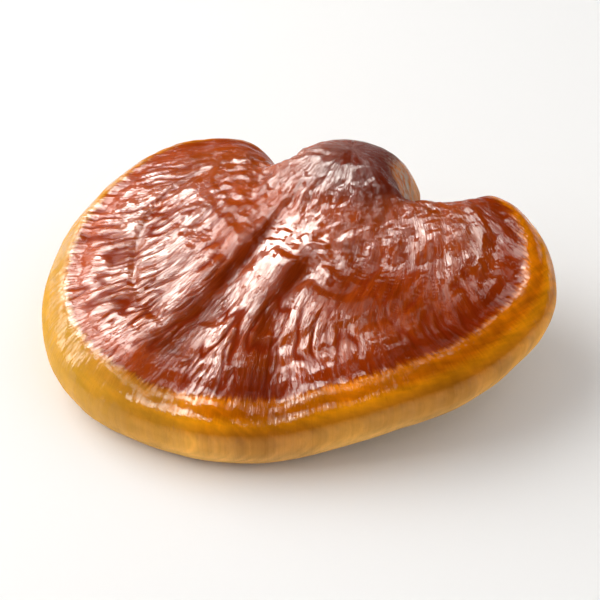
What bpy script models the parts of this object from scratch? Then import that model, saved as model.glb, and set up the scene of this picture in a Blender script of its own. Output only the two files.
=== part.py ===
"""A reishi mushroom: a thick, kidney-shaped cap that grew sideways from a short stem, cut off flat.

+Z is up and +Y points from the front of the cap towards the stem. The origin is under the middle of
the mushroom, on the surface that it rests on.
"""

import math

import bmesh
import bpy
import numpy as np
from mathutils import Vector

MM = 0.001

# The cap's outline from above, in mm from the growth centre, which is the spot in front of the stem
# that the wrinkles run out from. It goes anticlockwise: down the left lobe, round the front, up the
# right lobe, and then round the back of the stem, with a notch on each side of it.
LOBES_MM = [
    (-51, 51), (-65, 40), (-73, 21), (-74, -4), (-67, -26), (-56, -42), (-42, -54), (-23, -61),
    (2, -60), (21, -53), (36, -43), (52, -29), (65, -14), (72, 4), (74, 21), (68, 36), (59, 47),
    (49, 54),
]
NOTCHED_BACK_MM = [
    (39, 55), (30, 48), (21, 39), (19, 50), (11, 58), (-5, 58), (-17, 51), (-22, 41), (-29, 47),
    (-38, 52),
]

# The line that the growth rings follow at the edge: the same outline with its notches filled.
FILLED_BACK_MM = [(35, 57), (10, 52), (-12, 51), (-36, 54)]

# The edge line runs level along the front and climbs towards the back; the cap is thick there.
EDGE_HEIGHT = 11.5 * MM
BACK_RISE = 11 * MM
BACK_RISE_SPAN = (-50 * MM, 55 * MM)
RIM_ABOVE_EDGE = 10.5 * MM
DOME_RISE = 10 * MM
UNDERSIDE_DEPTH = 11.5 * MM
UNDERSIDE_HOLLOW = 3 * MM

# How far in from the outline the rounded edge reaches, above and below.
TOP_ROLL = 14 * MM
UNDER_ROLL = 10 * MM

# The edge rises on the right, and again round the back of the stem.
RIGHT_LIFT = 7 * MM
RIGHT_LIFT_DIRECTION = 5
RIGHT_LIFT_SPAN = (10 * MM, 62 * MM)
BACK_LIFT = 12 * MM
BACK_LIFT_AT = (0 * MM, 52 * MM)
BACK_LIFT_REACH = 17 * MM

# The hump where the stem runs into the cap: a ridge from its foot up to its crest.
HUMP_FOOT = (1 * MM, 6 * MM)
HUMP_CREST = (2 * MM, 37 * MM)
HUMP_RISE = 12.5 * MM
HUMP_FOOT_WIDTH = 13 * MM
HUMP_CREST_WIDTH = 26 * MM

# The folds start round the hump's crest and end up square to the edge, at these distances from it.
FLOW_TURN = (15 * MM, 75 * MM)
FOLD_TURN = (45 * MM, 100 * MM)
FOLD_FADE_IN = 20 * MM

# Folds, each with a steep wall on the left and a long slope on the right: direction by the hump and
# by the edge, half width on the left and on the right, all in degrees, then depth in mm and the
# distance from the crest where the fold starts, in mm.
FOLDS = [
    (-110, -93, 8.0, 16.0, 2.2, 24), (-73, -58, 8.0, 14.0, 1.8, 32), (-134, -127, 6.0, 12.0, 0.7, 44),
    (-158, -160, 7.0, 12.0, 0.6, 44),
]
FOLD_LEFT_AT_EDGE = 0.3

# The hollow at the foot of the right lobe: direction and half widths in degrees from the growth
# centre, depth, and the shares of the way out between which it sets in.
HOLLOW_DIRECTION = 14
HOLLOW_WIDTHS = (34, 15)
HOLLOW_DEPTH = 4.4 * MM
HOLLOW_START = (0.12, 0.36)

# Growth rings: place as a share of the way out, half width as the same share, height in mm.
RINGS = [
    (0.54, 0.036, 0.5), (0.605, 0.030, -0.6), (0.725, 0.032, 0.3), (0.83, 0.030, -0.6),
    (0.895, 0.030, 0.7),
]

# The rings fade out beside the stem and in the notches.
RINGS_FADE_BACK = (15 * MM, 38 * MM)
RINGS_FADE_ASIDE = (-50 * MM, -30 * MM)

# The stem: a short column that leans forward into the cap, a little wider at its foot.
STEM_FOOT = (0 * MM, 38 * MM)
STEM_TOP = (0 * MM, 34 * MM)
STEM_RADIUS = 15 * MM
STEM_TOP_HEIGHT = 30 * MM
STEM_FLARE = 1.15
STEM_WIDENING = 1.06
STEM_RIBS = 5
STEM_RIB_DEPTH = 0.025
GAP = 0.3 * MM

# The cap's mesh: spokes from the growth centre, and rows across them that crowd towards the edge.
SPOKES = 98
TOP_ROWS = 32
UNDER_ROWS = 13
TOP_CROWDING = 1.5
UNDER_CROWDING = 2.0
STEM_CROWDING = 1.5
INNER_SHARE = 0.6
FAN_BLUR = 0.06
STEM_SIDES = 32
STEM_ROWS = 5
SHARP_ANGLE = math.radians(60)


def smooth(value, low, high):
    """0 below low, 1 above high, and a soft step between."""
    t = np.clip((value - low) / (high - low), 0, 1)
    return t * t * (3 - 2 * t)


def closed_curve(points_mm, steps, crowd=0.0):
    """A smooth closed curve through the points (Catmull-Rom); crowd sets more of its steps near the stem."""
    p = np.array(points_mm) * MM
    t = np.linspace(0, 1, 24, endpoint=False)[:, None]
    before, after, later = np.roll(p, 1, 0), np.roll(p, -1, 0), np.roll(p, -2, 0)
    fine = np.concatenate([
        0.5 * (2 * b + (c - a) * t + (2 * a - 5 * b + 4 * c - d) * t**2 + (3 * b - a - 3 * c + d) * t**3)
        for a, b, c, d in zip(before, p, after, later)
    ])
    closed = np.vstack([fine, fine[:1]])
    near_stem = np.exp(-((np.linalg.norm(fine - np.array(STEM_FOOT), axis=1) / (25 * MM)) ** 2))
    step = np.linalg.norm(np.diff(closed, axis=0), axis=1) * (1 + crowd * near_stem)
    length = np.concatenate([[0], np.cumsum(step)])
    even = np.linspace(0, length[-1], steps, endpoint=False)
    return np.column_stack([np.interp(even, length, closed[:, k]) for k in (0, 1)])


def distance_to(curve, xy):
    """How far each point lies from the closed curve."""
    start, along = curve, np.roll(curve, -1, 0) - curve
    offset = xy[:, None, :] - start[None]
    t = np.clip((offset * along).sum(2) / (along**2).sum(1), 0, 1)
    return np.linalg.norm(offset - t[..., None] * along, axis=2).min(1)


def sloping_height(xy):
    """The cap's general slope, measured at its outermost line."""
    turn = math.radians(RIGHT_LIFT_DIRECTION)
    right = xy @ np.array([math.cos(turn), math.sin(turn)])
    rise = BACK_RISE * smooth(xy[:, 1], *BACK_RISE_SPAN)
    return EDGE_HEIGHT + rise + RIGHT_LIFT * smooth(right, *RIGHT_LIFT_SPAN)


def growth_reach(angle):
    """Distance from the growth centre to the growth line in each direction."""
    line = closed_curve(LOBES_MM + FILLED_BACK_MM, 720)
    line_angle = np.arctan2(line[:, 1], line[:, 0])
    order = np.argsort(line_angle)
    return np.interp(angle, line_angle[order], np.linalg.norm(line, axis=1)[order], period=2 * math.pi)


def growth_share(xy):
    """How far out each point lies, from 0 at the growth centre to 1 at the edge."""
    return np.linalg.norm(xy, axis=1) / growth_reach(np.arctan2(xy[:, 1], xy[:, 0]))


def edge_height(xy):
    """Height of the cap's outermost line, which the top and the underside share."""
    back = np.linalg.norm(xy - np.array(BACK_LIFT_AT), axis=1)
    return sloping_height(xy) + BACK_LIFT * np.exp(-((back / BACK_LIFT_REACH) ** 2))


def hump_height(xy):
    """The ridge that climbs from the growth centre to the top of the stem."""
    foot, crest = np.array(HUMP_FOOT), np.array(HUMP_CREST)
    along = crest - foot
    share = np.clip((xy - foot) @ along / (along @ along), 0, 1)
    aside = np.linalg.norm(xy - foot - share[:, None] * along, axis=1)
    width = HUMP_FOOT_WIDTH + (HUMP_CREST_WIDTH - HUMP_FOOT_WIDTH) * share
    return HUMP_RISE * smooth(share, -0.1, 0.9) * (1 - smooth(aside / width, 0.25, 1.3))


def relief(xy, out):
    """Folds and growth rings; out is the share of the way from the growth centre to the edge."""
    far = np.linalg.norm(xy - np.array(HUMP_CREST), axis=1)
    away = xy - np.array(HUMP_CREST) * (1 - smooth(far, *FLOW_TURN))[:, None]
    angle = np.degrees(np.arctan2(away[:, 1], away[:, 0]))
    outer = smooth(far, *FOLD_TURN)
    at_edge = 1 - (1 - FOLD_LEFT_AT_EDGE) * smooth(out, 0.8, 1)
    height = np.zeros(len(xy))
    for inner, end, left_width, right_width, depth, start in FOLDS:
        turn = (angle - inner - (end - inner) * outer + 180) % 360 - 180
        width = np.where(turn < 0, left_width, right_width) * (0.8 + 0.2 * outer)
        shown = smooth(far, start * MM, start * MM + FOLD_FADE_IN) * at_edge
        height -= depth * MM * np.exp(-((turn / width) ** 2)) * shown
    turn = np.degrees(np.arctan2(xy[:, 1], xy[:, 0])) - HOLLOW_DIRECTION
    turn = (turn + 180) % 360 - 180
    width = np.where(turn < 0, *HOLLOW_WIDTHS)
    height -= HOLLOW_DEPTH * np.exp(-((turn / width) ** 2)) * smooth(out, *HOLLOW_START) * at_edge
    front = 1 - smooth(xy[:, 1], *RINGS_FADE_BACK) * smooth(-np.abs(xy[:, 0]), *RINGS_FADE_ASIDE)
    for place, width, rise in RINGS:
        height += rise * MM * np.exp(-(((out - place) / width) ** 2)) * front
    return height


def crown_height(xy, out):
    dome = sloping_height(xy) + RIM_ABOVE_EDGE + DOME_RISE * (1 - np.clip(out, 0, 1.1) ** 1.8)
    return dome + hump_height(xy) + relief(xy, out)


def rounding(distance, reach):
    """0 at the outline and 1 at reach or further in, along a quarter ellipse."""
    return np.sqrt(1 - (1 - np.clip(distance / reach, 0, 1)) ** 2)


def top_height(xy, out, inside):
    edge = edge_height(xy)
    return edge + (crown_height(xy, out) - edge) * rounding(inside, TOP_ROLL)


def underside_height(xy, inside):
    edge = edge_height(xy)
    hollow = UNDERSIDE_HOLLOW * smooth(inside, UNDER_ROLL, 40 * MM)
    return edge - UNDERSIDE_DEPTH * rounding(inside, UNDER_ROLL) + hollow


def add_material(obj, name, colour, roughness):
    material = bpy.data.materials.new(name)
    material.use_nodes = True
    shader = material.node_tree.nodes["Principled BSDF"]
    shader.inputs["Base Color"].default_value = (*colour, 1)
    shader.inputs["Roughness"].default_value = roughness
    obj.data.materials.append(material)


def add_object(name, mesh_data, collection):
    mesh = bpy.data.meshes.new(name)
    mesh_data.to_mesh(mesh)
    mesh_data.free()
    mesh.shade_smooth()
    mesh.set_sharp_from_angle(angle=SHARP_ANGLE)
    obj = bpy.data.objects.new(name, mesh)
    collection.objects.link(obj)
    return obj


def spread_spokes(curve):
    """Where each spoke leaves the cap's inner part, with the spokes fanned out evenly below the notches."""
    count = len(curve)
    even = 2 * math.pi * np.arange(count) / count
    drift = np.unwrap(np.arctan2(curve[:, 1], curve[:, 0])) - even
    apart = (np.arange(count)[:, None] - np.arange(count) + count / 2) % count - count / 2
    weight = np.exp(-((apart / (count * FAN_BLUR)) ** 2))
    angle = even + weight @ drift / weight.sum(1)
    return INNER_SHARE * growth_reach(angle)[:, None] * np.column_stack([np.cos(angle), np.sin(angle)])


def cap_form():
    """A sphere's rows and columns laid over the cap: the upper rows are its top, the rest its underside."""
    curve = closed_curve(LOBES_MM + NOTCHED_BACK_MM, SPOKES, STEM_CROWDING)
    fine_curve = closed_curve(LOBES_MM + NOTCHED_BACK_MM, 360)
    rows = TOP_ROWS + UNDER_ROWS
    form = bmesh.new()
    bmesh.ops.create_uvsphere(form, u_segments=SPOKES, v_segments=rows, radius=1)
    ball = np.array([v.co for v in form.verts])
    spoke = np.round(np.arctan2(ball[:, 1], ball[:, 0]) / (2 * math.pi) * SPOKES).astype(int) % SPOKES
    row = np.round(rows * (0.5 - np.arcsin(np.clip(ball[:, 2], -1, 1)) / math.pi))
    upper = row <= TOP_ROWS
    way = np.where(upper, row / TOP_ROWS, (rows - row) / UNDER_ROWS)
    share = (1 - (1 - way) ** np.where(upper, TOP_CROWDING, UNDER_CROWDING))[:, None]
    bend = spread_spokes(curve)[spoke]
    outer = (share - INNER_SHARE) / (1 - INNER_SHARE)
    xy = np.where(outer > 0, bend + (curve[spoke] - bend) * outer, bend * share / INNER_SHARE)
    inside = distance_to(fine_curve, xy)
    out = growth_share(xy)
    height = np.where(upper, top_height(xy, out, inside), underside_height(xy, inside))
    for vert, (x, y), z in zip(form.verts, xy, height):
        vert.co = (x, y, z)
    # The short diagonals keep the edge round where the spokes run nearly along it.
    bmesh.ops.triangulate(form, faces=form.faces[:], quad_method="SHORT_EDGE")
    return form


def stem_form(grow=0.0):
    """The stem from its flat cut up into the cap; grow makes it wider and taller for the cap's socket."""
    form = bmesh.new()
    bmesh.ops.create_cone(form, cap_ends=True, segments=STEM_SIDES, radius1=1, radius2=1, depth=1)
    upright = [e for e in form.edges if abs(e.verts[0].co.z - e.verts[1].co.z) > 0.5]
    bmesh.ops.subdivide_edges(form, edges=upright, cuts=STEM_ROWS)
    foot, top = Vector((*STEM_FOOT, 0)), Vector((*STEM_TOP, STEM_TOP_HEIGHT))
    for vert in form.verts:
        share = vert.co.z + 0.5
        centre = foot.lerp(top, share)
        flare = 1 + (STEM_FLARE - 1) * (1 - share) ** 2
        ribs = 1 + STEM_RIB_DEPTH * math.sin(STEM_RIBS * math.atan2(vert.co.y, vert.co.x))
        radius = STEM_RADIUS * flare * ribs + grow
        across = centre.x + vert.co.x * radius * STEM_WIDENING
        vert.co = (across, centre.y + vert.co.y * radius, centre.z + grow * (2 * share - 1))
    return form


def centre_on_origin(objects):
    """Moves the mushroom so that the origin lies under the middle of its outline."""
    plan = np.array([vert.co[:2] for obj in objects for vert in obj.data.vertices])
    middle = (plan.min(0) + plan.max(0)) / 2
    for obj in objects:
        obj.location = (-middle[0], -middle[1], 0)


def build():
    for obj in list(bpy.data.objects):
        bpy.data.objects.remove(obj, do_unlink=True)
    parts = bpy.data.collections.new("reishi_mushroom")
    cutters = bpy.data.collections.new("cutters")
    for collection in (parts, cutters):
        bpy.context.scene.collection.children.link(collection)

    cap = add_object("cap", cap_form(), parts)
    add_material(cap, "lacquered_cap", (0.20, 0.028, 0.006), 0.25)

    stem = add_object("stem", stem_form(), parts)
    add_material(stem, "lacquered_stem", (0.10, 0.018, 0.008), 0.35)

    socket = add_object("stem_socket", stem_form(grow=GAP), cutters)
    socket.hide_render = True
    socket.display_type = "WIRE"
    cut = cap.modifiers.new("stem_socket", "BOOLEAN")
    cut.operation = "DIFFERENCE"
    cut.object = socket

    centre_on_origin([cap, stem, socket])


build()
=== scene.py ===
# A reishi mushroom: a lacquered, kidney-shaped cap on a short stem that is cut off flat.
# Lengths are in millimetres from the growth centre, the spot in front of the stem that the
# wrinkles run out from. A mesh is turned into metres when it is made.
import math
import bpy
import numpy as np
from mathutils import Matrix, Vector, noise


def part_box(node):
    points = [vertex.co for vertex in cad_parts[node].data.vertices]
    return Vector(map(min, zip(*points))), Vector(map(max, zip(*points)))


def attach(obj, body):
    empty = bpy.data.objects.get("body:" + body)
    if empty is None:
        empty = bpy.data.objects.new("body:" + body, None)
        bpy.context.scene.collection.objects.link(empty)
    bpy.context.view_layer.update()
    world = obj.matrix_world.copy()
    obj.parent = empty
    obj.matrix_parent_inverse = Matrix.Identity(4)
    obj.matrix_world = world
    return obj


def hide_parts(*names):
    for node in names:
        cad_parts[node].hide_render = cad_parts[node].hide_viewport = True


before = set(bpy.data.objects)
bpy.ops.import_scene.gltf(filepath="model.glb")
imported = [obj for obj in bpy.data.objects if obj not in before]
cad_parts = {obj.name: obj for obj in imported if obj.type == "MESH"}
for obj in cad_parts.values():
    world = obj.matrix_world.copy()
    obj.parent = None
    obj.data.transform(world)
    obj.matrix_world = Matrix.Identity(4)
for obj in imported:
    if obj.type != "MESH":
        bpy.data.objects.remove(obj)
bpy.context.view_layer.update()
mm = 0.001


def smooth(value, low, high):
    t = np.clip((value - low) / (high - low), 0, 1)
    return t * t * (3 - 2 * t)


def band(value, rise, full, fade, end):
    # 1 between full and fade, 0 before rise and after end
    return smooth(value, rise, full) * (1 - smooth(value, fade, end))


def bell(value, width):
    return np.exp(-((value / width) ** 2))


def between(share, ends):
    return ends[0] + (ends[1] - ends[0]) * share


def bearing(xy):
    return np.degrees(np.arctan2(xy[:, 1], xy[:, 0]))


def turnFrom(angle, direction):
    # degrees past the direction, -180 to 180
    return (angle - direction + 180) % 360 - 180


def softNoise(points, seed=0.0):
    # one value for each point, about -1 to 1
    return np.array([noise.noise(Vector(p)) for p in (points + seed).tolist()])


def closedCurve(points, steps):
    # a smooth closed curve through the points, cut into even steps
    p = np.array(points, float)
    t = np.linspace(0, 1, 24, endpoint=False)[:, None]
    before, after, later = np.roll(p, 1, 0), np.roll(p, -1, 0), np.roll(p, -2, 0)
    fine = np.concatenate([
        0.5 * (2 * b + (c - a) * t + (2 * a - 5 * b + 4 * c - d) * t**2 + (3 * b - a - 3 * c + d) * t**3)
        for a, b, c, d in zip(before, p, after, later)
    ])
    closed = np.vstack([fine, fine[:1]])
    length = np.concatenate([[0], np.cumsum(np.linalg.norm(np.diff(closed, axis=0), axis=1))])
    even = np.linspace(0, length[-1], steps, endpoint=False)
    return np.column_stack([np.interp(even, length, closed[:, k]) for k in (0, 1)])


def distanceTo(curve, xy):
    along = np.roll(curve, -1, 0) - curve
    found = []
    for block in np.array_split(xy, 60):  # in blocks, to spare memory
        offset = block[:, None, :] - curve[None]
        t = np.clip((offset * along).sum(2) / (along**2).sum(1), 0, 1)
        found.append(np.linalg.norm(offset - t[..., None] * along, axis=2).min(1))
    return np.concatenate(found)


def storeValues(mesh, name, values):
    mesh.attributes.new(name, "FLOAT", "POINT").data.foreach_set("value", values.astype(np.float32))


def storeVectors(mesh, name, vectors):
    data = mesh.attributes.new(name, "FLOAT_VECTOR", "POINT").data
    data.foreach_set("vector", vectors.astype(np.float32).ravel())


def addPiece(mesh, faces):
    obj = bpy.data.objects.new(mesh.name, mesh)
    bpy.context.scene.collection.objects.link(obj)
    print(mesh.name + ":", len(mesh.vertices), "points,", sum(len(face) - 2 for face in faces), "triangles")
    return obj


def newMaterial(name):
    material = bpy.data.materials.new(name)
    material.use_nodes = True
    tree = material.node_tree
    return material, tree, tree.nodes["Principled BSDF"]


def addNode(tree, kind, inputs=None, **settings):
    node = tree.nodes.new("ShaderNode" + kind)
    for key, value in settings.items():
        setattr(node, key, value)
    for key, value in (inputs or {}).items():
        if isinstance(value, bpy.types.NodeSocket):
            tree.links.new(value, node.inputs[key])
        else:
            node.inputs[key].default_value = value
    return node


def addRamp(tree, factor, stops):
    ramp = addNode(tree, "ValToRGB", {"Fac": factor})
    elements = ramp.color_ramp.elements
    while len(elements) < len(stops):
        elements.new(0.5)
    for element, (place, colour) in zip(elements, stops):
        element.position = place
        element.color = (*colour, 1)
    return ramp.outputs["Color"]


def readValue(tree, name, output="Fac"):
    return addNode(tree, "Attribute", attribute_name=name).outputs[output]


def scaled(tree, vector, scale):
    return addNode(tree, "VectorMath", {0: vector, 1: scale}, operation="MULTIPLY").outputs["Vector"]


def noiseOn(tree, vector, scale, detail=2.0, roughness=0.5):
    inputs = {"Vector": vector, "Scale": scale, "Detail": detail, "Roughness": roughness}
    return addNode(tree, "TexNoise", inputs).outputs["Fac"]


def calc(tree, operation, a, b=0.0, c=0.0):
    return addNode(tree, "Math", {0: a, 1: b, 2: c}, operation=operation).outputs["Value"]


def times(tree, value, *others):
    for other in others:
        value = calc(tree, "MULTIPLY", value, other)
    return value


def plus(tree, value, added, amount=1.0):
    return calc(tree, "MULTIPLY_ADD", added, amount, value)


def shadeBy(tree, pattern, amount):
    # lighter and darker round 1, as the pattern goes above and below a half
    return plus(tree, 1.0, calc(tree, "SUBTRACT", pattern, 0.5), amount)


def remap(tree, value, low, high, newLow=0.0, newHigh=1.0):
    inputs = {"Value": value, "From Min": low, "From Max": high, "To Min": newLow, "To Max": newHigh}
    return addNode(tree, "MapRange", inputs).outputs["Result"]


def grey(tree, value):
    return addNode(tree, "CombineColor", {"Red": value, "Green": value, "Blue": value}).outputs["Color"]


def mixColour(tree, factor, a, b, blend="MIX"):
    node = addNode(tree, "Mix", {0: factor, 6: a, 7: b}, data_type="RGBA", blend_type=blend)
    return node.outputs[2]


def addBump(tree, height, strength, distance, target):
    bump = addNode(tree, "Bump", {"Height": height, "Strength": strength, "Distance": distance})
    tree.links.new(bump.outputs["Normal"], target)


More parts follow.
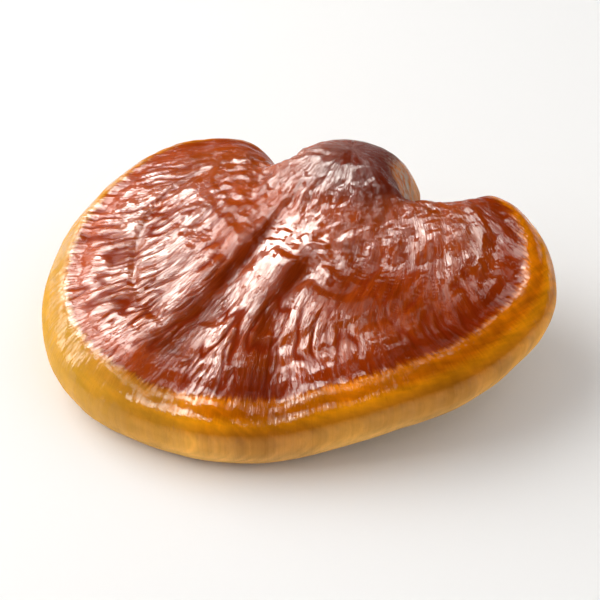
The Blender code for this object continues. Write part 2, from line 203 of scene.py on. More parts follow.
cap = dict(
    lobes=[  # outline from above: down the left lobe, round the front, up the right lobe
        (-51, 51), (-65, 40), (-73, 21), (-74, -4), (-67, -26), (-56, -42), (-42, -54),
        (-23, -61), (2, -60), (21, -53), (36, -43), (52, -29), (65, -14), (72, 4), (74, 21),
        (68, 36), (59, 47), (49, 54),
    ],
    notchedBack=[  # round the back of the stem, with a notch on each side
        (39, 55), (30, 48), (21, 39), (19, 50), (11, 58), (-5, 58), (-17, 51), (-22, 41),
        (-29, 47), (-38, 52),
    ],
    filledBack=[(35, 57), (10, 52), (-12, 51), (-36, 54)],  # the growth rings ignore the notches
    edgeHeight=11.5,
    backRise=11, backRiseSpan=(-50, 55),
    rimAboveEdge=10.5,
    domeRise=10, domePower=1.8,
    undersideDepth=11.5, undersideHollow=3, undersideHollowReach=40,
    undersideLumps=(9, 0.2, 4.4),  # size, height, seed
    topRoll=14, underRoll=10,  # how far in the rounded edge reaches
    edgeTuck=0.35, edgeTuckReach=6,  # the wrinkled edge stays this far inside the plain form
    floorGap=0.05,  # between the lowest skin and the floor
    rightLift=7, rightLiftDirection=5, rightLiftSpan=(10, 62),
    backLift=12, backLiftAt=(0, 52), backLiftReach=17,
    behindStem=(15, 45), besideStem=(15, 30),  # rings and wrinkles end where the hump's back begins
    humpFoot=(1, 6), humpCrest=(2, 37), humpRise=12, humpFootWidth=13, humpCrestWidth=26,
    humpAlong=(-0.1, 0.9), humpAcross=(0.25, 1.3),
    flowTurn=(15, 75),  # the wrinkles start on the hump's crest and end up square to the edge
    foldTurn=(45, 100),  # the folds swing round as they run out, between these distances
    folds=[  # direction near the hump and near the edge, width left and right, depth, where it starts
        (-110, -97, 7, 16, 2.2, 18),
        (-73, -61, 8, 14, 1.8, 26),
        (-134, -127, 5, 12, 0.7, 44),
        (-158, -160, 6, 12, 0.6, 44),
    ],
    foldRunIn=20, foldWidening=(0.7, 1.0),
    foldFloor=dict(shift=-0.4, widening=(1.0, 1.7), fullFloorDepth=2),  # folds this deep get the full floor: painted shade, dull lacquer and grain
    # the hollow, with painted shade in it: how strong, and how far it is shifted towards the hollow's left
    # side
    hollow=dict(direction=14, left=34, right=15, depth=4.4, start=(0.12, 0.36),
                wander=2, paintedShade=0.75, shadeShift=-0.5),
    edgeFade=(0.80, 1.0), edgeDepth=0.3,  # the folds and the hollow end this deep at the edge
    rings=[  # share of the way out, half width, height, how much of it there is left and right
        (0.540, 0.034, 0.42, 0.2, 0.9),
        (0.602, 0.017, -0.65, 1.0, 0.1),
        (0.650, 0.030, 0.25, 0.2, 0.4),
        (0.692, 0.016, -0.25, 0.3, 0.5),
        (0.725, 0.018, 0.22, 0.4, 0.5),
        (0.770, 0.020, -0.25, 0.1, 0.5),
        (0.830, 0.034, -0.55, 1.0, 0.55),
        (0.900, 0.036, 0.60, 1.0, 0.85),
        (0.935, 0.013, -0.30, 0.3, 1.2),
        (0.965, 0.015, 0.25, 0.3, 1.2),
    ],
    ringLeft=(0.1, 0.75),
    terrace=[(42.5, 2.2, 0.5), (47.0, 2.4, -0.3)],  # steps below the hump: distance, half width, height
    terraceFront=(0.35, 0.85),
    # uneven along the flow: cells round the cap, cells along it, seed, amount
    foldWander=[(9, 5.0, 41.5, 2.0), (34, 9.0, 43.5, 2.4)],
    foldBreaks=[(20, 7.0, 45.5, 0.7)],
    ringWander=[(16, 2.0, 5.5, 0.017), (44, 4.0, 8.5, 0.0085)],
    ringPatches=[(26, 3.0, 6.5, 0.8), (90, 4.0, 16.5, 0.8)],
    terraceWander=[(26, 2.0, 2.5, 4.0)],
    # the lacquered top's wrinkles; a span says where they fade in and out along the way
    lumps=[(8.0, 0.42, 1.7), (2.6, 0.11, 9.1)],  # size, height, seed
    ridges=[
        dict(cells=40, length=2.6, height=0.20, span=(0.10, 0.25, 0.86, 0.97), seed=23.9),
        dict(cells=150, length=8.0, height=0.06, span=(0.25, 0.45, 0.94, 1.00), seed=29.3),
    ],
    humpFolds=dict(cells=24, length=3.0, height=1.0, reach=(8, 18, 34, 48), back=(0.1, 0.6), seed=27.3,
                   sharpness=0.8, level=0.3, patchSize=11.0, bend=0.32, bendSeed=3.9,
                   strength=(0.75, 1.6), strengthLimits=(0.1, 1.4), strengthSeed=33.1),
    humpLumps=[(3.4, 0.6, 13.1), (1.5, 0.22, 19.1)],
    cracks=[
        dict(cells=56, length=3.4, width=0.10, depth=0.42, span=(0.16, 0.28, 0.66, 0.84), seed=6.2),
        dict(cells=104, length=6.0, width=0.15, depth=0.32, span=(0.30, 0.46, 0.84, 0.90), seed=17.7),
    ],
    crackWander=(60, 11, 0.022), crackBreaks=(-0.25, 0.15),  # cells round and along, amount; gaps
    humpTakeover=(0.12, 0.45),  # where the hump's own folds take over from the ridges and cracks
    crowding=0.2,  # wrinkles get no shallower than this where they crowd together
    reliefFade=(0.96, 1.0),  # the margin's rim is plain
    # spots with a look of their own; some of it is painted light and painted shade
    # smooth, dull ground; relief is the share of the wrinkles that it keeps
    calm=dict(direction=-10, width=32, start=(0.2, 0.36), relief=0.2),
    marginLightDirections=[(-82, 11, 1.0), (-40, 14, 0.8), (20, 34, 0.8)],  # direction, half width, how much painted light brightens the margin there
    paleNotch=(17, 43), paleNotchReach=5,  # bare fibres between the hump and the right lobe
    # the hump has its own darker red, and painted shade makes it darkest on its right and its back;
    # distances from its crest
    humpTintAndShadeSpan=(0.08, 0.55), humpUnshadedShare=0.3, humpShadeSide=(-16, 4), humpShadeFront=(-28, -8),
    # behind the stem the way out goes by the distance from the edge; change for each millimetre, limits
    backColours=dict(above=-0.018, below=0.03, span=(0.7, 1.5)),
    mesh=dict(
        spokes=1184, topRows=94, underRows=30, underSpokes=592, growthLineSteps=720,
        halvings=(0.56, 0.28, 0.14, 0.07),  # inside each of these shares there are half the spokes
        innerShare=0.6, fanBlur=0.06, typicalRadius=67,
    ),
    finish=dict(
        zones=[  # colours from the growth centre (0) over the edge (0.5) to the underside's middle (1)
            (0.000, (0.340, 0.048, 0.0040)), (0.150, (0.360, 0.054, 0.0050)),
            (0.260, (0.340, 0.050, 0.0030)), (0.295, (0.370, 0.060, 0.0040)),
            (0.350, (0.360, 0.056, 0.0030)), (0.395, (0.280, 0.032, 0.0020)),
            (0.422, (0.250, 0.026, 0.0015)), (0.430, (0.300, 0.042, 0.0012)),
            (0.443, (0.560, 0.150, 0.0014)), (0.464, (0.420, 0.095, 0.0010)),
            (0.480, (0.580, 0.190, 0.0030)), (0.492, (0.400, 0.125, 0.0060)),
            (0.502, (0.600, 0.270, 0.0600)), (0.512, (0.680, 0.360, 0.1100)),
            (0.600, (0.740, 0.500, 0.2300)), (1.000, (0.760, 0.580, 0.3300)),
        ],
        shine=[  # how much of the lacquer shines, along the same way
            (0.0, 1), (0.395, 1), (0.405, 0.6), (0.432, 0.6), (0.439, 1), (0.475, 0.9),
            (0.495, 0.45), (0.515, 0.12), (0.54, 0),
        ],
        crackColour=(0.200, 0.0160, 0.0020, 1),
        brightColour=(0.500, 0.075, 0.0060, 1),  # the left lobe's red, just inside the margin
        yellowColour=(0.670, 0.390, 0.0420, 1), yellowSide=(-0.87, -0.5, 0),  # on the margin's left front
        # the hump's own darker red, deepened by painted shade on its right and back
        humpTintAndShadeColour=(0.110, 0.0110, 0.0045, 1),
        fibreColour=(0.420, 0.330, 0.2500, 1),
        foldShade=(0.50, 0.34, 0.25, 1), marginLightTimes=(1.5, 1.6, 1.3, 1),  # times the colour there: painted shade in the folds' floors and the hollow, and painted light on the margin
        # patterns along the flow: cells round the cap, cells along it, detail, roughness
        streaks=(26, 5, 3.0, 0.5), fineStreaks=(85, 14, 3.0, 0.6), waves=(9, 55, 2.0, 0.5),
        patches=(7, 9, 3.0, 0.6), scuffs=(60, 11, 4.0, 0.65), grain=(46, 13, 2.0, 0.5),
        # patterns on the spot: cells in a metre, detail
        blotches=(90.0, 3.0), hazePatches=(160.0, 3.0), pimples=(520.0, 2.0),
        fibres=(900, 90, 2.0),  # cells in a metre across and upwards, detail
        # fine cracks: cells round the cap, cells along it, width, how strong
        thinLines=[(20, 5, 0.026, 1.0), (42, 9, 0.034, 1.0), (75, 14, 0.05, 0.8)],
        thinWiggle=600.0, thinBreaks=(0.46, 0.54), thinDark=0.75,
        raggedness=(0.06, 0.045),  # how far the streaks and fine streaks push the zones' borders
        # along the way out: from, to, amount before, amount after
        along=dict(
            ragged=(0.90, 0.98, 1.0, 0.1), blotches=(0.84, 0.95, 0.9, 0.8),
            fineStreaks=(0.86, 0.97, 0.7, 0.12), waves=(0.80, 0.90, 0.2, 0.9),
            foldShadeAlong=(0.86, 1.0, 1.0, 0.8), yellow=(1.02, 1.1, 0.6, 0.0),
            marginLight=(1.0, 1.06, 1.0, 0.0), hump=(0.84, 0.90, 0.92, 0.0),
            thinStart=(0.1, 0.3), thinEnd=(0.80, 0.92, 1.0, 0.12),
            calm=(0.86, 0.92, 1.0, 0.0), dullest=(0.84, 0.88, 0.55, 0.25),
            unscuffed=(0.12, 0.3, 1.0, 0.0), worn=(0.26, 0.40, 0.6, 0.0),
            roughness=(0.97, 1.02, 0.42, 0.62), pores=(1.02, 1.12, 0.0, 0.6),
            fineBump=(0.2, 0.5), grain=(0.15, 0.45, 0.15, 0.45),
            marginGrain=(0.83, 0.88, 0.0, 0.7), waveBump=(0.82, 0.90, 0.0, 0.25),
        ),
        # the same for values other than the way out
        limits=dict(
            streakyShade=(0.35, 0.6, 0.6, 1.15), yellowSide=(0.35, 0.95), yellowFrom=(0.86, 0.90),
            brightFrom=(0.70, 0.78, 0.0, 0.7), brightTo=(0.855, 0.865, 1.0, 0.0),
            marginLightFrom=(0.86, 0.88), cracks=(0.1, 0.8, 0.0, 0.9), fibres=(0.38, 0.6),
            dullCracks=(0.0, 0.9, 1.0, 0.02), dullCalm=(0.0, 0.9, 1.0, 0.08),
            dullFolds=(0.1, 0.75, 1.0, 0.18), patches=(0.38, 0.52), scuffs=(0.42, 0.53, 0.3, 1.0),
            wornSide=(-0.3, -0.5), coatRoughness=(0.45, 0.68, 0.03, 0.09), calmGrain=(0.0, 1.0, 1.0, 0.25),
        ),
        coatIor=1.5,
        poreScale=2600.0, bumpStrength=0.5, bumpHeight=0.00035,
        foldGrain=1.1, pimpleGrain=0.5, thinGrain=-0.3, coatBumpStrength=1.0, coatBumpHeight=0.0002,
    ),
)

growthLine = closedCurve(cap["lobes"] + cap["filledBack"], cap["mesh"]["growthLineSteps"])
outline = closedCurve(cap["lobes"] + cap["notchedBack"], cap["mesh"]["spokes"])
capLow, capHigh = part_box("cap")
boxMiddle = np.array([(capLow[k] + capHigh[k]) / 2 / mm for k in (0, 1)])
growthCentre = boxMiddle - (outline.min(0) + outline.max(0)) / 2


def inMetres(place):
    return (place + [*growthCentre, 0]) * mm


def growthReach(angle):
    lineAngle = np.arctan2(growthLine[:, 1], growthLine[:, 0])
    order = np.argsort(lineAngle)
    radius = np.linalg.norm(growthLine, axis=1)
    return np.interp(angle, lineAngle[order], radius[order], period=2 * math.pi)


def growthShare(xy):
    return np.linalg.norm(xy, axis=1) / growthReach(np.arctan2(xy[:, 1], xy[:, 0]))


def flowAt(xy):
    # which way the wrinkles run, and how far down from the hump's crest
    crest = np.array(cap["humpCrest"])
    far = np.linalg.norm(xy - crest, axis=1)
    away = xy - crest * (1 - smooth(far, *cap["flowTurn"]))[:, None]
    return away / np.maximum(np.linalg.norm(away, axis=1), 0.1)[:, None], far


def flowNoise(flow, far, cells, length, seed):
    # noise with so many cells round the cap, and along a typical radius
    radius = cells / (2 * math.pi)
    points = np.column_stack([flow * radius, far * (length / cap["mesh"]["typicalRadius"])])
    return softNoise(points, seed)


def uneven(flow, far, layers):
    return sum(amount * flowNoise(flow, far, cells, length, seed) for cells, length, seed, amount in layers)


def turned(flow, angle):
    cos, sin = np.cos(angle), np.sin(angle)
    return np.column_stack([flow[:, 0] * cos - flow[:, 1] * sin, flow[:, 0] * sin + flow[:, 1] * cos])


def edgeHeightAt(xy):
    # the edge's slope under the dome, and with the lift behind the stem
    turn = math.radians(cap["rightLiftDirection"])
    right = xy @ np.array([math.cos(turn), math.sin(turn)])
    back = np.linalg.norm(xy - np.array(cap["backLiftAt"]), axis=1)
    slope = cap["backRise"] * smooth(xy[:, 1], *cap["backRiseSpan"])
    slope = slope + cap["edgeHeight"] + cap["rightLift"] * smooth(right, *cap["rightLiftSpan"])
    return slope, slope + cap["backLift"] * bell(back, cap["backLiftReach"])


def humpAt(xy):
    # 0 off the hump to 1 on its crest
    foot, crest = np.array(cap["humpFoot"]), np.array(cap["humpCrest"])
    along = crest - foot
    share = np.clip((xy - foot) @ along / (along @ along), 0, 1)
    aside = np.linalg.norm(xy - foot - share[:, None] * along, axis=1)
    width = between(share, (cap["humpFootWidth"], cap["humpCrestWidth"]))
    return smooth(share, *cap["humpAlong"]) * (1 - smooth(aside / width, *cap["humpAcross"]))


def rounding(distance, reach):
    return np.sqrt(1 - (1 - np.clip(distance / reach, 0, 1)) ** 2)


def frontOfStem(xy):
    return 1 - smooth(xy[:, 1], *cap["behindStem"]) * (1 - smooth(np.abs(xy[:, 0]), *cap["besideStem"]))


def edgeFade(share):
    return 1 - (1 - cap["edgeDepth"]) * smooth(share, *cap["edgeFade"])


def foldsAt(share, flow, far, wander):
    # how high the skin stands in the broad folds, and their floors from 0 to 1, which get painted shade
    height, valley = np.zeros(len(share)), np.zeros(len(share))
    broken = 1 + uneven(flow, far, cap["foldBreaks"])
    outer = smooth(far, *cap["foldTurn"])
    floor = cap["foldFloor"]
    for inner, end, leftWidth, rightWidth, depth, start in cap["folds"]:
        turn = turnFrom(bearing(flow) + wander, between(outer, (inner, end)))
        width = np.where(turn < 0, leftWidth, rightWidth) * between(outer, cap["foldWidening"])
        shown = smooth(far, start, start + cap["foldRunIn"]) * edgeFade(share)
        height -= depth * broken * bell(turn, width) * shown
        floorWidth = leftWidth * between(outer, floor["widening"])
        onFloor = bell(turn - floor["shift"] * leftWidth, floorWidth) * shown
        valley = np.maximum(valley, onFloor * min(depth / floor["fullFloorDepth"], 1))
    return height, valley


def hollowAt(xy, share, wander):
    hollow = cap["hollow"]
    turn = turnFrom(bearing(xy) + hollow["wander"] * wander, hollow["direction"])
    shown = smooth(share, *hollow["start"]) * edgeFade(share)
    height = -hollow["depth"] * bell(turn, np.where(turn < 0, hollow["left"], hollow["right"])) * shown
    # the hollow's height, and the painted shade in it
    return height, hollow["paintedShade"] * bell(turn - hollow["shadeShift"] * hollow["left"], hollow["left"]) * shown


def ringsAt(xy, share, flow, far):
    height = np.zeros(len(xy))
    leftness = smooth(-flow[:, 0], *cap["ringLeft"])
    place = share + uneven(flow, far, cap["ringWander"])
    patchy = 1 + uneven(flow, far, cap["ringPatches"])
    for middle, width, rise, left, right in cap["rings"]:
        height += rise * between(leftness, (right, left)) * patchy * bell(place - middle, width)
    height *= frontOfStem(xy)
    facing = smooth(-flow[:, 1], *cap["terraceFront"])
    step = far + uneven(flow, far, cap["terraceWander"])
    for distance, width, rise in cap["terrace"]:
        height += rise * facing * patchy * bell(step - distance, width)
    return height


def calmAt(xy, share):
    calm = cap["calm"]
    return bell(turnFrom(bearing(xy), calm["direction"]), calm["width"]) * smooth(share, *calm["start"])


def capForm(xy, share, flow, far, inside, upper):
    # the height of each point, and how much it belongs to a fold's floor, how much painted shade it gets
    # from the folds and the hollow, and how calm it is
    wander = uneven(flow, far, cap["foldWander"])
    folds, valley = foldsAt(share, flow, far, wander)
    hollow, paintedShade = hollowAt(xy, share, wander)
    slope, edge = edgeHeightAt(xy)
    dome = cap["domeRise"] * (1 - np.clip(share, 0, 1.1) ** cap["domePower"])
    crown = slope + cap["rimAboveEdge"] + dome + cap["humpRise"] * humpAt(xy)
    crown += folds + hollow + ringsAt(xy, share, flow, far)
    top = edge + (crown - edge) * rounding(inside, cap["topRoll"])
    lifted = cap["undersideHollow"] * smooth(inside, cap["underRoll"], cap["undersideHollowReach"])
    under = edge - cap["undersideDepth"] * rounding(inside, cap["underRoll"]) + lifted
    shades = valley, np.maximum(valley, paintedShade), calmAt(xy, share)
    return np.where(upper, top, under), *(np.where(upper, shade, 0) for shade in shades)


def spreadSpokes(curve):
    # where each spoke leaves the inner part, fanned out evenly below the notches
    count = len(curve)
    even = 2 * math.pi * np.arange(count) / count
    drift = np.unwrap(np.arctan2(curve[:, 1], curve[:, 0])) - even
    apart = (np.arange(count)[:, None] - np.arange(count) + count / 2) % count - count / 2
    weight = bell(apart, count * cap["mesh"]["fanBlur"])
    angle = even + weight @ drift / weight.sum(1)
    direction = np.column_stack([np.cos(angle), np.sin(angle)])
    return cap["mesh"]["innerShare"] * growthReach(angle)[:, None] * direction


def evenShares(roll, drop, count):
    # rows at even steps along a typical profile, from the centre to the edge
    share = 1 - np.linspace(1, 0, 3000) ** 2
    radius = share * cap["mesh"]["typicalRadius"]
    height = drop * rounding(cap["mesh"]["typicalRadius"] - radius, roll)
    length = np.concatenate([[0], np.cumsum(np.hypot(np.diff(radius), np.diff(height)))])
    return np.interp(np.linspace(0, length[-1], count + 1), length, share)


def capGrid():
    # rings of points from the middle of the top, over the edge, to the middle of the underside
    grid = cap["mesh"]
    topShares = evenShares(cap["topRoll"], cap["rimAboveEdge"], grid["topRows"])[1:]
    underShares = evenShares(cap["underRoll"], cap["undersideDepth"], grid["underRows"])[-2:0:-1]
    rings = [(share, 1, True) for share in topShares]
    rings += [(share, grid["spokes"] // grid["underSpokes"], False) for share in underShares]
    bend = spreadSpokes(outline)
    places, shares, uppers, starts, faces = [np.zeros((1, 2))], [np.zeros(1)], [np.ones(1, bool)], [], []
    count = 1
    for share, coarse, upper in rings:
        step = coarse * 2 ** sum(share < limit for limit in grid["halvings"])
        spoke = np.arange(0, grid["spokes"], step)
        if share > grid["innerShare"]:
            outer = (share - grid["innerShare"]) / (1 - grid["innerShare"])
            xy = bend[spoke] + (outline[spoke] - bend[spoke]) * outer
        else:
            xy = bend[spoke] * share / grid["innerShare"]
        starts.append((count, len(spoke)))
        places.append(xy)
        shares.append(np.full(len(spoke), share))
        uppers.append(np.full(len(spoke), upper))
        count += len(spoke)
    first, last = starts[0], starts[-1]
    for k in range(first[1]):
        faces.append((0, first[0] + k, first[0] + (k + 1) % first[1]))
    for (startA, numberA), (startB, numberB) in zip(starts, starts[1:]):
        number = min(numberA, numberB)
        stepA, stepB = numberA // number, numberB // number
        for k in range(number):
            near = [startA + (k * stepA + i) % numberA for i in range(stepA, -1, -1)]
            far = [startB + (k * stepB + i) % numberB for i in range(stepB + 1)]
            faces.append((near[-1], *far, *near[:-1]))
    for k in range(last[1]):
        faces.append((last[0] + k, count, last[0] + (k + 1) % last[1]))
    places.append(np.zeros((1, 2)))
    shares.append(np.zeros(1))
    uppers.append(np.zeros(1, bool))
    return np.concatenate(places), np.concatenate(shares), np.concatenate(uppers), faces


def crackLines(flow, far, share, settings):
    # thin wandering lines that run outwards and break off here and there
    cells, length, seed = settings["cells"], settings["length"], settings["seed"]
    wanderCells, wanderLength, wander = cap["crackWander"]
    bent = turned(flow, wander * flowNoise(flow, far, wanderCells, wanderLength, seed + 7))
    line = bell(flowNoise(bent, far, cells, length, seed), settings["width"])
    broken = flowNoise(flow, far, cells / 3, length, seed + 2)
    return line * smooth(broken, *cap["crackBreaks"]) * band(share, *settings["span"])


def humpWrinkles(place, flow, far):
    # the crumpled skin on the hump
    folds = cap["humpFolds"]
    spot = place / folds["patchSize"]
    bent = turned(flow, folds["bend"] * softNoise(spot, folds["bendSeed"]))
    ridge = np.abs(flowNoise(bent, far, folds["cells"], folds["length"], folds["seed"]))
    middle, swing = folds["strength"]
    strength = np.clip(middle + swing * softNoise(spot, folds["strengthSeed"]), *folds["strengthLimits"])
    height = folds["height"] * (ridge ** folds["sharpness"] - folds["level"]) * strength
    for size, lumpHeight, seed in cap["humpLumps"]:
        height += lumpHeight * softNoise(place / size, seed)
    return height * band(far, *folds["reach"]) * (1 - smooth(flow[:, 1], *folds["back"]))


def capWrinkles(place, share, flow, far, calm):
    # how high the skin's lumps and ridges stand, how deep the cracks are, and how strong
    xy = place[:, :2]
    crowded = np.clip(far / cap["mesh"]["typicalRadius"], cap["crowding"], 1)
    plain = (1 - smooth(humpAt(xy), *cap["humpTakeover"])) * frontOfStem(xy) * crowded
    height = humpWrinkles(place, flow, far)
    for size, lumpHeight, seed in cap["lumps"]:
        height += lumpHeight * softNoise(place / size, seed)
    for kind in cap["ridges"]:
        ridge = flowNoise(flow, far, kind["cells"], kind["length"], kind["seed"])
        height += kind["height"] * ridge * band(share, *kind["span"]) * plain
    depth, cracks = np.zeros(len(place)), np.zeros(len(place))
    for kind in cap["cracks"]:
        line = kind["depth"] * crackLines(flow, far, share, kind) * plain
        depth += line
        cracks = np.maximum(cracks, line / cap["cracks"][0]["depth"])
    return height * (1 - (1 - cap["calm"]["relief"]) * calm), depth, cracks


def wayOutAt(xy, share, inside, upper):
    # 0 at the growth centre, 1 on the edge, 2 in the middle of the underside; behind the stem,
    # where the growth rings are hidden, it follows the distance from the edge
    colours = cap["backColours"]
    fromEdge = np.clip(1 + np.where(upper, colours["above"], colours["below"]) * inside, *colours["span"])
    return between(1 - frontOfStem(xy), (np.where(upper, share, 2 - share), fromEdge))


def humpTintAndShadeAt(xy):
    # the hump's own darker red, with painted shade added on its right and back side
    humpX, humpY = cap["humpCrest"]
    shadedSide = smooth(xy[:, 0] - humpX, *cap["humpShadeSide"]) * smooth(xy[:, 1] - humpY, *cap["humpShadeFront"])
    return smooth(humpAt(xy), *cap["humpTintAndShadeSpan"]) * between(shadedSide, (cap["humpUnshadedShare"], 1))


def buildCap():
    xy, gridShare, upper, faces = capGrid()
    inside = distanceTo(outline[::3], xy)  # every third point is fine enough
    inside[gridShare == 1] = 0
    share = growthShare(xy)
    flow, far = flowAt(xy)
    height, valley, paintedShade, calm = capForm(xy, share, flow, far, inside, upper)
    place = np.column_stack([xy, height])

    mesh = bpy.data.meshes.new("reishi_cap")
    mesh.from_pydata(inMetres(place).tolist(), [], faces)
    normal = np.empty(len(place) * 3)
    mesh.vertices.foreach_get("normal", normal)
    skin, crackDepth, cracks = capWrinkles(place, share, flow, far, calm)
    skin = (skin - crackDepth) * (1 - smooth(share, *cap["reliefFade"]))
    lumpSize, lumpHeight, seed = cap["undersideLumps"]
    below = lumpHeight * softNoise(place / lumpSize, seed)
    tuck = cap["edgeTuck"] * (1 - smooth(inside, 0, cap["edgeTuckReach"]))
    place = place + normal.reshape(-1, 3) * (np.where(upper, skin, below) - tuck)[:, None]
    place[:, 2] = np.maximum(place[:, 2], cap["floorGap"])
    mesh.vertices.foreach_set("co", inMetres(place).ravel())
    mesh.shade_smooth()

    storeValues(mesh, "wayOut", wayOutAt(xy, share, inside, upper))
    storeValues(mesh, "crack", np.where(upper, cracks, 0))
    # the hump's own darker red and its painted shade
    storeValues(mesh, "hump", humpTintAndShadeAt(xy))
    notch = np.linalg.norm(xy - np.array(cap["paleNotch"]), axis=1)
    storeValues(mesh, "fibres", np.where(upper, bell(notch, cap["paleNotchReach"]), 0))
    storeValues(mesh, "valley", valley)
    # painted shade in the folds' floors and the hollow
    storeValues(mesh, "paintedShade", paintedShade)
    storeValues(mesh, "calm", calm)
    # painted light on the margin in a few directions
    storeValues(mesh, "marginLight", sum(amount * bell(turnFrom(bearing(xy), direction), width)
                                  for direction, width, amount in cap["marginLightDirections"]))
    storeVectors(mesh, "flow", np.column_stack([flow, far / cap["mesh"]["typicalRadius"]]))
    return addPiece(mesh, faces)


def lacquerMaterial():
    material, tree, shader = newMaterial("reishi_lacquer")
    finish = cap["finish"]
    way = readValue(tree, "wayOut")
    flow = readValue(tree, "flow", "Vector")
    position = addNode(tree, "TexCoord").outputs["Object"]

    def alongWay(name):
        return remap(tree, way, *finish["along"][name])

    def limited(value, name):
        return remap(tree, value, *finish["limits"][name])

    def onFlow(around, along, detail, roughness=0.5):
        return noiseOn(tree, scaled(tree, flow, (around, around, along)), 1.0, detail, roughness)

    def lines(around, along, width):
        # thin wandering lines that run outwards and break off here and there
        wiggle = noiseOn(tree, position, finish["thinWiggle"], 1.0)
        moved = addNode(tree, "VectorMath", {0: scaled(tree, flow, (around, around, along)), 1: wiggle})
        value = calc(tree, "SUBTRACT", noiseOn(tree, moved.outputs["Vector"], 1.0, 0.0), 0.5)
        line = remap(tree, calc(tree, "ABSOLUTE", value), 0.0, width, 1.0, 0.0)
        return times(tree, line, remap(tree, onFlow(around / 3, along, 1.0), *finish["thinBreaks"]))

    streaks, fineStreaks, waves = (onFlow(*finish[name]) for name in ("streaks", "fineStreaks", "waves"))
    push = times(tree, calc(tree, "SUBTRACT", streaks, 0.5), finish["raggedness"][0])
    push = plus(tree, push, calc(tree, "SUBTRACT", fineStreaks, 0.5), finish["raggedness"][1])
    raggedWay = plus(tree, way, push, alongWay("ragged"))
    halfWay = times(tree, raggedWay, 0.5)  # the ramps run from 0 to 1
    colour = addRamp(tree, halfWay, finish["zones"])
    blotches = noiseOn(tree, position, *finish["blotches"])
    shade = times(tree, shadeBy(tree, blotches, alongWay("blotches")),
                  shadeBy(tree, fineStreaks, alongWay("fineStreaks")),
                  shadeBy(tree, waves, alongWay("waves")))
    colour = mixColour(tree, 1.0, colour, grey(tree, shade), "MULTIPLY")
    # painted shade in the folds' floors and the hollow, made streaky
    paintedShade = times(tree, readValue(tree, "paintedShade"), alongWay("foldShadeAlong"), limited(streaks, "streakyShade"))
    colour = mixColour(tree, paintedShade, colour, finish["foldShade"], "MULTIPLY")

    towards = addNode(tree, "VectorMath", {0: flow, 1: finish["yellowSide"]}, operation="DOT_PRODUCT")
    leftSide = limited(towards.outputs["Value"], "yellowSide")
    yellow = times(tree, leftSide, limited(raggedWay, "yellowFrom"), alongWay("yellow"))
    colour = mixColour(tree, yellow, colour, finish["yellowColour"])
    bright = times(tree, leftSide, limited(raggedWay, "brightFrom"), limited(raggedWay, "brightTo"))
    colour = mixColour(tree, bright, colour, finish["brightColour"])
    # painted light: the margin made lighter in a few directions
    marginLight = times(tree, limited(raggedWay, "marginLightFrom"), alongWay("marginLight"), readValue(tree, "marginLight"))
    colour = mixColour(tree, marginLight, colour, finish["marginLightTimes"], "MULTIPLY")
    # the hump's own darker red, with painted shade on its right and back
    hump = times(tree, readValue(tree, "hump"), alongWay("hump"))
    colour = mixColour(tree, hump, colour, finish["humpTintAndShadeColour"])

    thin = 0.0
    for around, along, width, amount in finish["thinLines"]:
        thin = calc(tree, "MAXIMUM", times(tree, lines(around, along, width), amount), thin)
    thin = times(tree, thin, alongWay("thinEnd"), alongWay("thinStart"))
    crack = limited(readValue(tree, "crack"), "cracks")
    crack = calc(tree, "MAXIMUM", crack, times(tree, thin, finish["thinDark"]))
    colour = mixColour(tree, crack, colour, finish["crackColour"])
    across, upwards, detail = finish["fibres"]
    fibres = limited(noiseOn(tree, scaled(tree, position, (across, across, upwards)), 1.0, detail), "fibres")
    fibres = times(tree, fibres, readValue(tree, "fibres"))
    colour = mixColour(tree, fibres, colour, finish["fibreColour"])
    tree.links.new(colour, shader.inputs["Base Color"])

    # the lacquer shines less in cracks and folds, on the calm ground and where it is scuffed or worn
    valley = readValue(tree, "valley")
    calm = times(tree, readValue(tree, "calm"), alongWay("calm"))
    patches = remap(tree, onFlow(*finish["patches"]), *finish["limits"]["patches"], alongWay("dullest"))
    scuffs = calc(tree, "MAXIMUM", limited(onFlow(*finish["scuffs"]), "scuffs"), alongWay("unscuffed"))
    flowX = addNode(tree, "SeparateXYZ", {"Vector": flow}).outputs["X"]
    worn = times(tree, limited(flowX, "wornSide"), alongWay("worn"))
    coat = addRamp(tree, halfWay, [(place, (amount, amount, amount)) for place, amount in finish["shine"]])
    coat = times(tree, coat, limited(crack, "dullCracks"), limited(calm, "dullCalm"),
                 limited(valley, "dullFolds"), patches, scuffs, calc(tree, "SUBTRACT", 1.0, worn))
    tree.links.new(coat, shader.inputs["Coat Weight"])
    tree.links.new(alongWay("roughness"), shader.inputs["Roughness"])
    haze = limited(noiseOn(tree, position, *finish["hazePatches"]), "coatRoughness")
    tree.links.new(haze, shader.inputs["Coat Roughness"])
    shader.inputs["Coat IOR"].default_value = finish["coatIor"]
    shader.inputs["Specular IOR Level"].default_value = 0.0  # only the coat shines

    pores = addNode(tree, "TexVoronoi", {"Vector": position, "Scale": finish["poreScale"]})
    fineHeight = times(tree, pores.outputs["Distance"], alongWay("pores"))
    fineHeight = plus(tree, fineHeight, fineStreaks, alongWay("fineBump"))
    addBump(tree, fineHeight, finish["bumpStrength"], finish["bumpHeight"], shader.inputs["Normal"])
    grainAmount = plus(tree, alongWay("grain"), alongWay("marginGrain"))
    grainAmount = plus(tree, grainAmount, valley, finish["foldGrain"])
    grainAmount = times(tree, grainAmount, limited(calm, "calmGrain"))
    coatHeight = times(tree, onFlow(*finish["grain"]), grainAmount)
    coatHeight = plus(tree, coatHeight, noiseOn(tree, position, *finish["pimples"]), finish["pimpleGrain"])
    coatHeight = plus(tree, coatHeight, thin, finish["thinGrain"])
    coatHeight = plus(tree, coatHeight, waves, alongWay("waveBump"))
    coatNormal = shader.inputs["Coat Normal"]
    addBump(tree, coatHeight, finish["coatBumpStrength"], finish["coatBumpHeight"], coatNormal)
    print("lacquer:", len(tree.nodes), "nodes")
    return material


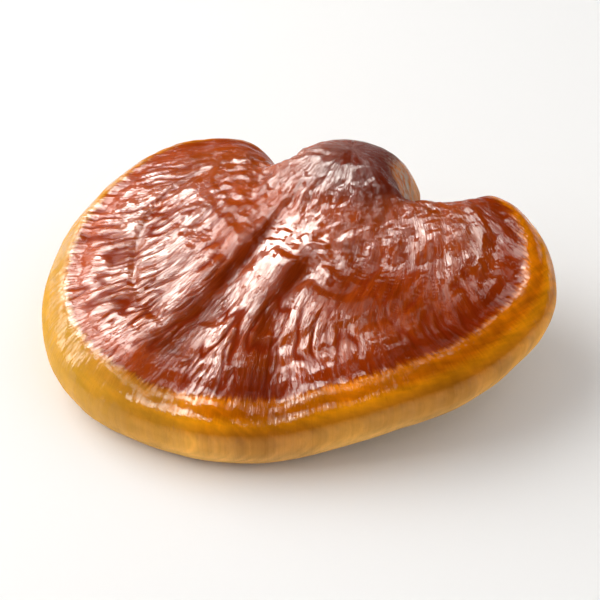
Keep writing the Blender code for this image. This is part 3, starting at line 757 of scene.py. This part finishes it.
# a short column that leans forward into the cap and spreads where it meets it
stem = dict(
    foot=(0, 38), top=(0, 34), radius=15, topHeight=30, flare=1.15, widening=1.06,
    ribs=5, ribDepth=0.025,
    spread=2.5, spreadFrom=14,
    cutShare=0.985,  # the cut's radius, which leaves a small bevel
    sideSpan=(0.01, 0.97),  # shares of the height between the bevel and the top, inside the cap
    wrinkles=[(6.5, 0.045, 12.3, 1.0), (16, 0.09, 15.3, 0.5)],  # cells round, cells up, seed, amount
    wrinkleHeight=0.35, wrinkleLevel=0.9, wrinkleFrom=2,
    sides=240, rows=44, cutRings=16, sharpAngle=50,
    finish=dict(
        bark=[(0.3, (0.070, 0.0080, 0.0030)), (0.7, (0.160, 0.018, 0.004))],
        wood=[(0.3, (0.16, 0.075, 0.028)), (0.7, (0.42, 0.27, 0.13))],
        # cells in a metre, detail, roughness
        blotches=(120.0, 3.0), cutFibres=(1500.0, 4.0, 0.7),
        fibreStretch=(1, 1, 0.15), fibres=(700.0, 4.0, 0.6), fibreShade=(0.3, 0.7, 0.75, 1.2),
        roughness=(0.4, 0.85), lacquer=0.8, lacquerRoughness=0.15,
        bumpStrength=0.5, bumpHeight=0.0004,
    ),
)


def stemRadius(share, angle):
    flare = 1 + (stem["flare"] - 1) * (1 - share) ** 2
    return stem["radius"] * flare * (1 + stem["ribDepth"] * np.sin(stem["ribs"] * angle))


def buildStem():
    sides, topHeight = stem["sides"], stem["topHeight"]
    angle = 2 * math.pi * np.arange(sides) / sides
    around = np.column_stack([np.cos(angle), np.sin(angle)])
    foot, top = np.array(stem["foot"]), np.array(stem["top"])
    rings = []  # radius, share of the height, 1 on the side and 0 on the cut
    for outwards in np.linspace(0, 1, stem["cutRings"] + 1)[1:]:
        rings.append((stemRadius(0, angle) * outwards * stem["cutShare"], 0, 0))
    for share in np.linspace(*stem["sideSpan"], stem["rows"]):
        spread = stem["spread"] * smooth(share * topHeight, stem["spreadFrom"], topHeight)
        rings.append((stemRadius(share, angle) + spread, share, 1))
    place = np.concatenate([
        np.column_stack([foot + (top - foot) * share + around * [stem["widening"], 1] * radius[:, None],
                         np.full(sides, share * topHeight)])
        for radius, share, onSide in rings
    ])
    side = np.repeat([float(onSide) for radius, share, onSide in rings], sides)
    direction = np.tile(around, (len(rings), 1))
    wrinkles = sum(amount * softNoise(np.column_stack([direction * cells, place[:, 2] * upCells]), seed)
                   for cells, upCells, seed, amount in stem["wrinkles"])
    lift = stem["wrinkleHeight"] * (wrinkles - stem["wrinkleLevel"]) * side
    place[:, :2] += direction * (lift * smooth(place[:, 2], 0, stem["wrinkleFrom"]))[:, None]

    faces = []
    for ring in range(len(rings) - 1):
        low, high = ring * sides, (ring + 1) * sides
        for k in range(sides):
            after = (k + 1) % sides
            faces.append((low + k, low + after, high + after, high + k))
    cutMiddle, topMiddle, lastRing = len(place), len(place) + 1, (len(rings) - 1) * sides
    for k in range(sides):
        after = (k + 1) % sides
        faces.append((cutMiddle, after, k))
        faces.append((topMiddle, lastRing + k, lastRing + after))
    place = np.vstack([place, [*foot, 0], [*top, topHeight * stem["sideSpan"][1]]])
    mesh = bpy.data.meshes.new("reishi_stem")
    mesh.from_pydata(inMetres(place).tolist(), [], faces)
    storeValues(mesh, "cut", np.concatenate([1 - side, [1, 0]]))
    mesh.shade_smooth()
    mesh.set_sharp_from_angle(angle=math.radians(stem["sharpAngle"]))
    return addPiece(mesh, faces)


def stemMaterial():
    material, tree, shader = newMaterial("reishi_stem_lacquer")
    finish = stem["finish"]
    position = addNode(tree, "TexCoord").outputs["Object"]
    cut = readValue(tree, "cut")
    fibres = noiseOn(tree, scaled(tree, position, finish["fibreStretch"]), *finish["fibres"])
    bark = addRamp(tree, noiseOn(tree, position, *finish["blotches"]), finish["bark"])
    wood = addRamp(tree, noiseOn(tree, position, *finish["cutFibres"]), finish["wood"])
    shade = grey(tree, remap(tree, fibres, *finish["fibreShade"]))
    colour = mixColour(tree, 1.0, mixColour(tree, cut, bark, wood), shade, "MULTIPLY")
    tree.links.new(colour, shader.inputs["Base Color"])
    tree.links.new(remap(tree, cut, 0.0, 1.0, *finish["roughness"]), shader.inputs["Roughness"])
    tree.links.new(remap(tree, cut, 0.0, 0.5, finish["lacquer"], 0.0), shader.inputs["Coat Weight"])
    shader.inputs["Coat Roughness"].default_value = finish["lacquerRoughness"]
    addBump(tree, fibres, finish["bumpStrength"], finish["bumpHeight"], shader.inputs["Normal"])
    print("stem finish:", len(tree.nodes), "nodes")
    return material


# pale floor and soft lights; the lacquer mirrors some of the lights, and the others only brighten it
studio = dict(
    cameraAzimuth=30, cameraElevation=38, cameraDistance=405, cameraAim=(6.16, 0.27, 20.0), lens=85,
    cameraClip=0.01,
    lightDistance=1000, lightsAim=(0, 0, 25),
    lights=dict(  # azimuth and elevation, width and height, power, mirrored or not
        softbox=(-75, 44, (610, 640), 34, True),
        softboxHigh=(-64, 67, (400, 300), 9.5, True),
        softboxWide=(-86, 36, (1400, 1150), 4, True),
        softboxBehind=(-22, 58, (380, 420), 6.0, True),
        softboxAbove=(90, 77, (420, 420), 3.0, True),
        softboxLow=(-85, 10, (900, 350), 7, True),
        windowFront=(-148, 49, (1000, 440), 27, True),
        windowRight=(160, 50, (470, 540), 2.4, True),
        softLeft=(-105, 36, (1300, 1300), 15, False),
        softRight=(70, 40, (1300, 1300), 3, False),
    ),
    mirroredColour=(1.0, 0.95, 0.88), lightColour=(1.0, 0.98, 0.95),
    worldColour=(0.42, 0.42, 0.42, 1),
    floorSize=6000, floorColour=(0.86, 0.86, 0.86, 1), floorRoughness=0.9, floorSpecular=0.1,
)


def pointTowards(obj, place, target):
    obj.location = Vector(place) * mm
    obj.rotation_euler = (Vector(target) - Vector(place)).to_track_quat("-Z", "Y").to_euler()


def skyDirection(azimuth, elevation):
    # azimuth 0 is behind the mushroom and -90 on its left
    a, e = math.radians(azimuth), math.radians(elevation)
    return Vector((math.sin(a) * math.cos(e), math.cos(a) * math.cos(e), math.sin(e)))


def buildStudio():
    scene = bpy.context.scene
    camera = bpy.data.objects.new("camera", bpy.data.cameras.new("camera"))
    scene.collection.objects.link(camera)
    aim = Vector(studio["cameraAim"])
    away = skyDirection(180 - studio["cameraAzimuth"], studio["cameraElevation"])
    pointTowards(camera, aim + away * studio["cameraDistance"], aim)
    camera.data.lens = studio["lens"]
    camera.data.clip_start = studio["cameraClip"]
    scene.camera = camera

    bpy.ops.mesh.primitive_plane_add(size=studio["floorSize"] * mm)
    floor = bpy.context.object
    floor.name = "floor"
    material, tree, shader = newMaterial("pale_floor")
    shader.inputs["Base Color"].default_value = studio["floorColour"]
    shader.inputs["Roughness"].default_value = studio["floorRoughness"]
    shader.inputs["Specular IOR Level"].default_value = studio["floorSpecular"]
    floor.data.materials.append(material)

    middle = Vector(studio["lightsAim"])
    for name, (azimuth, elevation, size, power, mirrored) in studio["lights"].items():
        light = bpy.data.lights.new(name, "AREA")
        light.shape = "RECTANGLE"
        light.size, light.size_y = size[0] * mm, size[1] * mm
        light.energy = power
        light.color = studio["mirroredColour"] if mirrored else studio["lightColour"]
        lamp = bpy.data.objects.new(name, light)
        lamp.visible_glossy = mirrored
        lamp.visible_diffuse = not mirrored
        scene.collection.objects.link(lamp)
        pointTowards(lamp, middle + skyDirection(azimuth, elevation) * studio["lightDistance"], middle)
    world = bpy.data.worlds.new("studio")
    world.use_nodes = True
    world.node_tree.nodes["Background"].inputs["Color"].default_value = studio["worldColour"]
    scene.world = world
    world.cycles_visibility.glossy = False
    scene.view_settings.view_transform = "Standard"
    scene.view_settings.look = "None"
    print("studio: camera, floor and", len(studio["lights"]), "lights")


capPiece = buildCap()
capPiece.data.materials.append(lacquerMaterial())
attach(capPiece, "root")
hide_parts("cap")

stemPiece = buildStem()
stemPiece.data.materials.append(stemMaterial())
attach(stemPiece, "root")
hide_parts("stem")

buildStudio()
